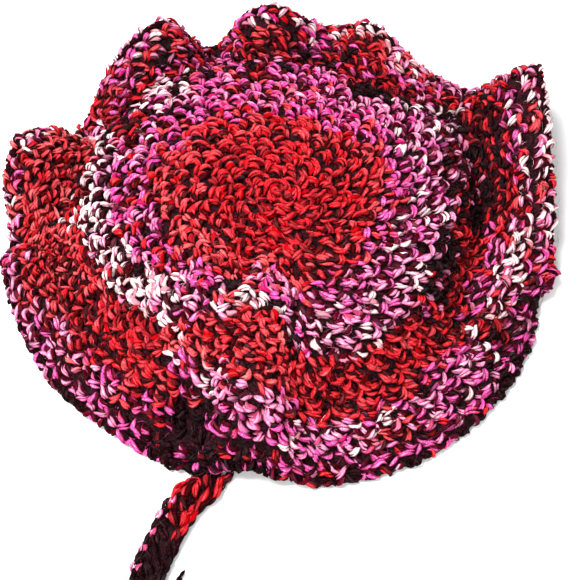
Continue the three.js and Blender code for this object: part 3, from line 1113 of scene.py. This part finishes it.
def piece(name: str, skin: Skin, finish: Material, stands_for: tuple[str, ...] = ()) -> bpy.types.Object:
    """Makes a skin an object that rides on the bonnet's body.

    Args:
        name: The piece's name.
        skin: Its points and faces, in millimetres.
        finish: Its material.
        stands_for: The CAD nodes that it replaces.

    Returns:
        The object.
    """
    mesh = bpy.data.meshes.new(name)
    mesh.vertices.add(len(skin.points))
    mesh.vertices.foreach_set("co", (skin.points * MM).astype(np.float32).ravel())
    corners = np.concatenate([skin.quads.ravel(), skin.triangles.ravel()])
    mesh.loops.add(len(corners))
    mesh.loops.foreach_set("vertex_index", corners.astype(np.int32))
    starts = np.concatenate([np.arange(len(skin.quads)) * 4,
                             len(skin.quads) * 4 + np.arange(len(skin.triangles)) * 3])
    mesh.polygons.add(len(starts))
    mesh.polygons.foreach_set("loop_start", starts.astype(np.int32))
    mesh.update(calc_edges=True)
    mesh.shade_smooth()
    strand = np.concatenate([skin.quad_uv.ravel(), skin.triangle_uv.ravel()])
    mesh.uv_layers.new(name="strand").data.foreach_set("uv", strand.astype(np.float32))
    dye = mesh.color_attributes.new("dye", "FLOAT_COLOR", "POINT")
    dye.data.foreach_set("color", skin.dye.astype(np.float32).ravel())
    mesh.materials.append(finish)
    made = bpy.data.objects.new(name, mesh)
    bpy.context.scene.collection.objects.link(made)
    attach(made, BODY)
    if stands_for:
        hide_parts(*stands_for)
    LOG.info("%s: %d triangles", name, 2 * len(skin.quads) + len(skin.triangles))
    return made


@dataclass(frozen=True)
class Finishes:
    """The materials that the pieces share."""

    yarn: Material
    core: Material
    halo: Material


CROWN_STITCH = Stitch(10.0, 8.1, (
    Leg((-0.40, -0.50), (-0.06, 0.24), 0.7, -1.6, 1.7),
    Leg((-0.10, -0.44), (0.36, 0.10), 0.7, -1.6, 1.7),
    Leg((-0.46, 0.00), (0.14, 0.46), -0.6, -1.6, 1.7),
    Leg((0.00, 0.44), (0.56, 0.14), 0.8, -1.7, 1.7),
), (
    Leg((-0.5, 0.0), (0.0, 0.1), 0.4, -2.4, 1.0, 3.0),
    Leg((0.1, 0.2), (0.6, 0.3), 0.4, -2.4, 1.0, 3.0),
), half_width=1.0, black_half_width=1.2, turn_spread=0.17, broadening=0.85, looseness=0.8)
BRIM_STITCH = Stitch(12.0, 7.8, (
    Leg((-0.40, -0.50), (-0.04, 0.22), 0.7, -1.6, 1.7),
    Leg((-0.08, -0.42), (0.38, 0.02), 0.8, -1.6, 1.7),
    Leg((-0.48, 0.12), (0.12, 0.42), -0.7, -1.6, 1.7),
    Leg((0.02, 0.42), (0.54, 0.02), 0.8, -1.7, 1.7),
), CROWN_STITCH.fill, turn_spread=0.15, looseness=0.75)
CROWN_BACK = Stitch(11.0, 8.1, (
    Leg((-0.42, 0.1), (0.42, -0.1), 0.5, -1.2, 1.0),
    Leg((-0.3, 0.5), (0.3, 0.3), -0.5, -1.2, 0.9),
), half_width=1.4, ply_gap=0.0, gap=1.2, rings=4, plies=1)
BRIM_BACK = replace(CROWN_BACK, width=12.5, height=7.8)


def core(fabric: Fabric, first: float, last: float, sectors: int, rng: Rng) -> Skin:
    """The closed body between two depths under the faces, a little uneven.

    Args:
        fabric: The outer face.
        first: The round it starts at, or zero for the crown's middle.
        last: The round it ends at.
        sectors: Points round the turn.
        rng: Random numbers for its unevenness.

    Returns:
        The skin.
    """
    depth, spread, floor, per_round = 2.1, 0.2, 0.8, 2
    rows = np.linspace(first, last, int((last - first) * per_round) + 1)
    turn, row = np.meshgrid(np.arange(sectors) * 360 / sectors, rows, indexing="ij")
    outward = fabric.outward(turn, row)
    face = fabric.at(turn, row)
    uneven = rng.normal(0, spread, turn.shape)
    uneven[:, 0] = 0
    outer = face - outward * (depth + uneven)[..., None]
    inner = face - outward * (fabric.wall - depth + uneven)[..., None]
    inner[..., 2] = np.maximum(inner[..., 2], floor)
    return Skin.sheet(np.concatenate([outer, inner[:, ::-1]], axis=1), first == 0)


@dataclass(frozen=True)
class Panel:
    """The crown or the brim: its dark depth, its bands of stitches and their backs behind it.

    A band is a piece's name, its first round and the round after its last. The depth goes on for
    tuck_under rounds below the edging, and the last round of stitches lies last_shift further out.
    """

    node: str
    bands: tuple[tuple[str, int, int], ...]
    back: str
    stitch: Stitch
    back_stitch: Stitch
    seed: int
    sectors: int
    tuck_under: float = 0.0
    last_shift: float = 0.0

    def build(self, fabric: Fabric, finishes: Finishes, dyes: DyeBook) -> None:
        """Makes the panel's pieces."""
        rng = np.random.default_rng(self.seed)
        first, last = self.bands[0][1], self.bands[-1][2]
        depth = core(fabric, first, last + self.tuck_under, self.sectors, rng)
        piece(f"{self.node}_depth", depth, finishes.core, (self.node,))
        for name, low, high in self.bands:
            turn, row = fabric.places(low, high, self.stitch.width, rng)
            row = row + self.last_shift * (row > last - 1)
            piece(name, self.stitch.worked(fabric, turn, row, row, dyes, rng), finishes.yarn)
        turn, row = fabric.places(first, last, self.back_stitch.width, rng)
        piece(self.back, self.back_stitch.worked(Lining(fabric), turn, row, row, dyes, rng),
              finishes.yarn)


CROWN = Panel("crown", (("crown_middle_stitches", 0, 8), ("crown_shoulder_stitches", 8, 11),
                        ("crown_side_stitches", 11, 14)),
              "crown_inside_stitches", CROWN_STITCH, CROWN_BACK, seed=11, sectors=180)
BRIM = Panel("brim", (("brim_inner_stitches", 14, 17), ("brim_outer_stitches", 17, 19)),
             "brim_under_stitches", BRIM_STITCH, BRIM_BACK, seed=23, sectors=360,
             tuck_under=0.2, last_shift=0.25)


@dataclass(frozen=True)
class Edging:
    """The last round, a row of small black stitches over the rim, some of them standing up."""

    fabric: Fabric
    seed: int = 37
    stitch: Stitch = Stitch(8.4, 13.0, (
        Leg((-0.60, -0.42), (0.10, 0.34), 0.8, -2.3, 1.2),
        Leg((0.50, -0.36), (0.00, 0.38), -0.6, -2.4, 1.2),
        Leg((-0.50, 0.05), (0.30, 0.66), 0.5, -2.4, 1.1),
    ), half_width=0.85, ply_gap=0.5, gap=0.8, turn_spread=0.2)
    stitch_row: float = 0.17
    dye_round: float = 19.5
    core_radius: float = 1.9
    core_floor: float = 0.6
    sectors: int = 480
    sides: int = 12
    standing_row: float = 0.28
    standing_height: float = 9.0
    standing: tuple[Pair, ...] = (
        (256.9, 1.8), (258.4, 2.4), (259.9, 2.4), (261.4, 2.2), (263.0, 2.4), (264.6, 2.6),
        (266.2, 2.6), (267.8, 2.2), (269.4, 1.6), (348.4, 1.2), (349.4, 2.8), (350.2, 3.2),
        (350.0, 1.6), (351.4, 1.4))

    def build(self, finishes: Finishes, dyes: DyeBook) -> None:
        """Makes the rim's beaded ring."""
        rng = np.random.default_rng(self.seed)
        ring = RimRing(self.fabric)
        turn, row = np.meshgrid(np.arange(self.sectors) * 360 / self.sectors,
                                np.arange(self.sides) / self.sides, indexing="ij")
        inside = ring.middle(turn) + self.core_radius * ring.outward(turn, row)
        inside[..., 2] = np.maximum(inside[..., 2], self.core_floor)
        skins = [Skin.sheet(inside, False)]
        rim = self.fabric.brim_end
        turn, _ = self.fabric.places(rim, rim + 1, self.stitch.width, rng)
        skins.append(self.stitch.worked(ring, turn, np.full(turn.shape, self.stitch_row),
                                        np.full(turn.shape, self.dye_round), dyes, rng))
        for azimuth, height in self.standing:
            raised = replace(self.stitch, height=self.standing_height,
                             legs=tuple(replace(leg, sink=leg.sink + height)
                                        for leg in self.stitch.legs))
            skins.append(raised.worked(ring, np.array([azimuth]), np.array([self.standing_row]),
                                       np.array([self.dye_round]), dyes, rng))
        piece("rim_edging_beads", Skin.joined(skins), finishes.yarn, ("rim_edging",))


TIE_ROUTE = (
    (-30.2, -123.9), (-32.5, -128.1), (-34.2, -130.1), (-36.3, -132.3), (-38.9, -134.4),
    (-41.9, -138.6), (-44.6, -143.2), (-47.0, -148.0), (-49.2, -152.8), (-51.3, -157.6),
    (-53.2, -162.6), (-54.8, -167.6), (-56.1, -172.7), (-57.0, -177.9), (-57.4, -183.2),
    (-57.1, -188.5), (-55.9, -193.7), (-53.7, -198.6), (-50.7, -203.0), (-47.2, -207.0),
    (-43.4, -210.8), (-41.0, -213.0),
)
TAIL_ROUTE = (
    (-40.6, -213.4), (-37.2, -216.2), (-33.2, -217.6), (-29.6, -216.2), (-28.2, -212.4),
    (-28.8, -207.8), (-30.4, -203.2), (-32.3, -198.7), (-34.3, -194.2), (-36.3, -189.7),
    (-38.3, -185.2), (-40.3, -180.8), (-42.0, -176.4), (-42.8, -173.0), (-42.0, -170.2),
    (-40.4, -167.8),
)
TIE_RUNS = (
    Run((0, 360), (-2, 30), "K", 0.75),
    Run((-28, 28), (-1, 3.5), "RRD", 0.35),
    Run((28, 80), (-1, 4.2), "RRD", 0.38),
    Run((-64, -28), (0.5, 2.1), "RRD", 0.35),
    Run((-90, -66), (0.8, 1.8), "PMR", 0.4),
    Run((-90, -66), (1.8, 30), "PPWM", 0.02),
)


@dataclass(frozen=True)
class TieColumn:
    """A column of stitches along the tie: the turn about it, a shift along it and its leg."""

    turn: float
    shift: float
    leg: Leg


TIE_COLUMNS = (
    TieColumn(2, 0.47, Leg((-0.43, -0.46), (0.40, 0.46), 0.6, -1.5, 1.6)),
    TieColumn(66, 0.42, Leg((0.10, -0.50), (-0.10, 0.48), 0.4, -1.5, 1.5)),
    TieColumn(-40, 0.36, Leg((0.24, -0.42), (-0.20, 0.38), 0.5, -1.5, 1.6)),
    TieColumn(-18, 0.9, Leg((-0.3, -0.4), (0.2, 0.4), 0.5, -1.9, 1.6)),
    TieColumn(-74, 0.6, Leg((0.16, -0.44), (0.04, 0.34), -0.9, -1.3, 1.3)),
    TieColumn(-58, 1.0, Leg((0.1, -0.5), (-0.1, 0.5), 0.5, -1.8, 1.5)),
    TieColumn(32, 0.9, Leg((-0.1, -0.5), (0.2, 0.5), -0.5, -1.9, 1.6)),
    *(TieColumn(turn, 0.8, Leg((0.0, -0.6), (0.0, 0.55), 0.3, -1.7, 1.0)) for turn in (96, -104)),
    *(TieColumn(turn, 0.5, Leg((-side, -0.5), (side, 0.5), 0.4, -1.6, 1.2))
      for turn, side in ((140, 0.3), (180, -0.3), (220, 0.3))),
)


def laid(route: tuple[Pair, ...], height: float) -> Array:
    """A route's points in the frame, at a height above the floor."""
    flat = np.array(route) + AXIS
    return np.concatenate([flat, np.full((len(flat), 1), height)], axis=1)


@dataclass(frozen=True)
class ChinTie:
    """The crocheted tie: a flat cord of chained stitches, a loose end on the floor.

    Sizes are a width and a thickness: the face that the stitches lie on, and the core inside.
    Columns start early rows before their shift, those beyond the turn right_of by right_early
    more, and end late rows before the cord does.
    """

    seed: int = 41
    face_size: Pair = (14.9, 6.4)
    core_size: Pair = (11.9, 4.0)
    height: float = 3.5
    pitch: float = 8.2
    taper: float = 7.0
    tuck: float = 9.0
    early: float = 0.2
    right_of: float = 20.0
    right_early: float = 0.6
    late: float = 0.45
    diameter: float = 0.014
    rings: int = 60
    sides: int = 24
    stitch: Stitch = Stitch(7.5, 8.2, (), half_width=0.9, ply_gap=0.55, black_half_width=1.15,
                            gap=0.95, turn_spread=0.1, looseness=0.4)

    def build(self, finishes: Finishes) -> None:
        rng = np.random.default_rng(self.seed)
        route = laid(TIE_ROUTE, self.height)
        face, slim = (CordFace(route, *size, self.pitch, self.taper, tuck=self.tuck)
                      for size in (self.face_size, self.core_size))
        row, turn = np.meshgrid(np.linspace(0, face.rows, self.rings),
                                np.arange(self.sides) * 360 / self.sides, indexing="ij")
        start, end = (np.broadcast_to(slim.middle(np.array(last))[0], (self.sides, 1, 3))
                      for last in (0.0, face.rows))
        grid = np.concatenate([start, slim.at(turn, row).transpose(1, 0, 2), end], axis=1)[::-1]
        skins = [Skin.sheet(grid, True), *self._stitches(face, rng)]
        tie = piece("chin_tie_cord", Skin.joined(skins), finishes.yarn, ("chin_tie",))

    def _stitches(self, face: CordFace, rng: Rng) -> list[Skin]:
        """The chained stitches over the cord, in columns round it."""
        dyes = DyeBook(TIE_RUNS, turn_spread=3.0, round_spread=0.1)
        skins = []
        for column in TIE_COLUMNS:
            start = column.shift - self.early - self.right_early * (column.turn > self.right_of)
            rows = np.arange(start, face.rows - self.late)
            stitch = replace(self.stitch, legs=(column.leg,))
            skins.append(stitch.worked(face, np.full(rows.shape, column.turn), rows, rows, dyes, rng))
        return skins


@dataclass(frozen=True)
class TieTail:
    """The two yarns' ends, twisted together, that turn back from the tie's end."""

    diameter: float = 3.2
    taper: float = 11.0
    lay: float = 7.0
    press: float = 1.05
    rings: int = 160
    sides: int = 10

    def build(self, finishes: Finishes) -> None:
        """Each yarn's middle line winds about the route at a quarter of the diameter, once round in
        the lay's length, and the yarn is a little thicker than that so that the two press together.
        """
        face = CordFace(laid(TAIL_ROUTE, self.diameter / 2), self.diameter, self.diameter, 1.0,
                        self.taper, tip_size=0.16, tip_power=0.7)
        rows = np.linspace(0, face.rows, self.rings)
        where, across, size = face.middle(rows)
        skins = []
        for yarn in range(2):
            wind = (2 * np.pi * rows / self.lay + yarn * np.pi)[:, None]
            middle = where + (self.diameter / 4 * size)[:, None] * (
                across * np.cos(wind) + UP * np.sin(wind))
            ahead = unit(np.gradient(middle, axis=0))
            beside = unit(np.cross(ahead, UP))
            over = np.cross(beside, ahead)
            about = (np.arange(self.sides) / self.sides * 2 * np.pi)[:, None, None]
            half = self.diameter / 4 * size * self.press
            ring = middle[None] + half[None, :, None] * (np.cos(about) * beside
                                                         + np.sin(about) * over)
            ends = [np.broadcast_to(middle[k], (self.sides, 1, 3)) for k in (0, -1)]
            skins.append(Skin.sheet(np.concatenate([ends[0], ring, ends[1]], axis=1), True))
        skin = Skin.joined(skins)
        skin.points[:, 2] = np.maximum(skin.points[:, 2], FLOOR_GAP)
        tail = piece("tie_tail_yarns", skin, finishes.yarn, ("tie_tail",))


@dataclass(frozen=True)
class Halo:
    """Loose fibres over the outside and round the rim, each a thin bowed spindle."""

    fabric: Fabric
    seed: int = 53
    pitch: float = 10.0
    per_stitch: int = 8
    lift: Pair = (0.3, 1.3)
    rim_pitch: float = 1.6
    rim_round: float = 19.5
    rim_rows: Pair = (-0.1, 0.35)
    rim_lift: Pair = (0.2, 1.2)
    half_width: float = 0.045
    scatter: float = 5.0
    row_scatter: float = 0.7
    half_length: Pair = (1.5, 4.0)
    bow_spread: float = 0.9
    base_spread: float = 0.4
    black_share: float = 0.85

    def build(self, finishes: Finishes, dyes: DyeBook) -> None:
        """Makes the fibres."""
        rng = np.random.default_rng(self.seed)
        rim = self.fabric.brim_end
        turn, row = (np.repeat(place, self.per_stitch)
                     for place in self.fabric.places(0, rim, self.pitch, rng))
        skins = [self._fibres(self.fabric, turn, row, row, self.lift, dyes, rng)]
        turn, _ = self.fabric.places(rim, rim + 1, self.rim_pitch, rng)
        row = rng.uniform(*self.rim_rows, turn.shape)
        skins.append(self._fibres(RimRing(self.fabric), turn, row,
                                  np.full(turn.shape, self.rim_round), self.rim_lift, dyes, rng))
        piece("loose_fibres", Skin.joined(skins), finishes.halo)

    def _fibres(self, face: Face, turn: Array, row: Array, dye_row: Array, lift: Pair, dyes: DyeBook,
                rng: Rng) -> Skin:
        """Fibres about the places, scattered only along the row where the dyes' rows differ."""
        count = len(turn)
        base, rise = lift
        middle = (rng.uniform(-self.scatter, self.scatter, (count, 2))
                  * (1, self.row_scatter if dye_row is row else 0))
        angle = rng.uniform(0, 2 * np.pi, count)
        half = (rng.uniform(*self.half_length, count)[:, None]
                * np.stack([np.cos(angle), np.sin(angle)], -1))
        taken, _ = dyes.take(turn, dye_row, rng)
        taken = np.where(rng.random(count) < self.black_share, Dye.number("K"), taken)
        return Strands(face, turn, row, middle - half, middle + half,
                       bow=rng.normal(0, self.bow_spread, count),
                       base=rng.normal(base, self.base_spread, count),
                       rise=rng.uniform(0, rise, count),
                       half_width=np.full(count, self.half_width), dye=dyes.colours(taken, rng),
                       thickness_share=1.0, fullness=0.4).skin(2, 3)


@dataclass(frozen=True)
class Lamp:
    """A round soft light: where it hangs, in metres, how wide it is and its power in watts."""

    name: str
    place: Triple
    size: float
    power: float


@dataclass(frozen=True)
class Studio:
    """The camera, the pale floor and the soft lights, in metres."""

    elevation: float = 55.0
    distance: float = 0.640
    target: Triple = (0.005, -0.0412, 0.020)
    lens: float = 85.03
    lit: Triple = (0.0, -0.02, 0.02)
    floor_half: float = 4.0
    floor_colour: Colour = (0.86, 0.86, 0.86, 1)
    world_strength: float = 0.49
    lamps: tuple[Lamp, ...] = (
        Lamp("key", (-0.36, -0.15, 1.0), 0.5, 22.0),
        Lamp("front", (-0.2, -0.9, 0.7), 0.8, 9.0),
        Lamp("side", (0.9, 0.1, 0.6), 0.8, 2.5),
    )

    def camera(self) -> None:
        """Sets the camera at the photograph's angle."""
        angle = np.radians(self.elevation)
        right = Vector((1.0, 0.0, 0.0))
        back = Vector((0.0, -float(np.cos(angle)), float(np.sin(angle))))
        data = bpy.data.cameras.new("photograph_view")
        data.lens = self.lens
        data.sensor_width = 36.0
        data.clip_start = 0.01
        made = bpy.data.objects.new("photograph_view", data)
        made.matrix_world = Matrix.LocRotScale(
            Vector(self.target) + back * self.distance,
            Matrix((right, back.cross(right), back)).transposed().to_quaternion(), None)
        bpy.context.scene.collection.objects.link(made)
        bpy.context.scene.camera = made

    def light(self) -> None:
        """Lays the floor and hangs the lights."""
        scene = bpy.context.scene
        scene.view_settings.view_transform = "Standard"
        half = self.floor_half
        floor = bpy.data.meshes.new("floor")
        floor.from_pydata([(-half, -half, 0), (half, -half, 0), (half, half, 0), (-half, half, 0)], [],
                          [(0, 1, 2, 3)])
        floor.materials.append(NodeSheet("pale_floor").finished(
            {"Base Color": self.floor_colour, "Roughness": 0.9}))
        laid_floor = bpy.data.objects.new("floor", floor)
        scene.collection.objects.link(laid_floor)
        for lamp in self.lamps:
            data = bpy.data.lights.new(lamp.name, "AREA")
            data.shape = "DISK"
            data.size = lamp.size
            data.energy = lamp.power
            made = bpy.data.objects.new(lamp.name, data)
            aim = Vector(self.lit) - Vector(lamp.place)
            made.matrix_world = Matrix.LocRotScale(Vector(lamp.place), aim.to_track_quat("-Z", "Y"),
                                                   None)
            scene.collection.objects.link(made)
        world = bpy.data.worlds.new("studio")
        world.use_nodes = True
        background = world.node_tree.nodes["Background"]
        background.inputs["Color"].default_value = (1, 1, 1, 1)
        background.inputs["Strength"].default_value = self.world_strength
        scene.world = world


def main() -> None:
    """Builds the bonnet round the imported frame: camera, cords, fabric, then lights."""
    logging.basicConfig(level=logging.INFO, format="%(name)s: %(message)s")
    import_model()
    studio = Studio()
    studio.camera()
    finishes = Finishes(YarnFinish().made(), CoreFinish().made(), HaloFinish().made())
    dyes = DyeBook()
    ChinTie().build(finishes)
    TieTail().build(finishes)
    fabric = Fabric()
    CROWN.build(fabric, finishes, dyes)
    BRIM.build(fabric, finishes, dyes)
    Edging(fabric).build(finishes, dyes)
    Halo(fabric).build(finishes, dyes)
    studio.light()


if __name__ == "__main__":
    main()
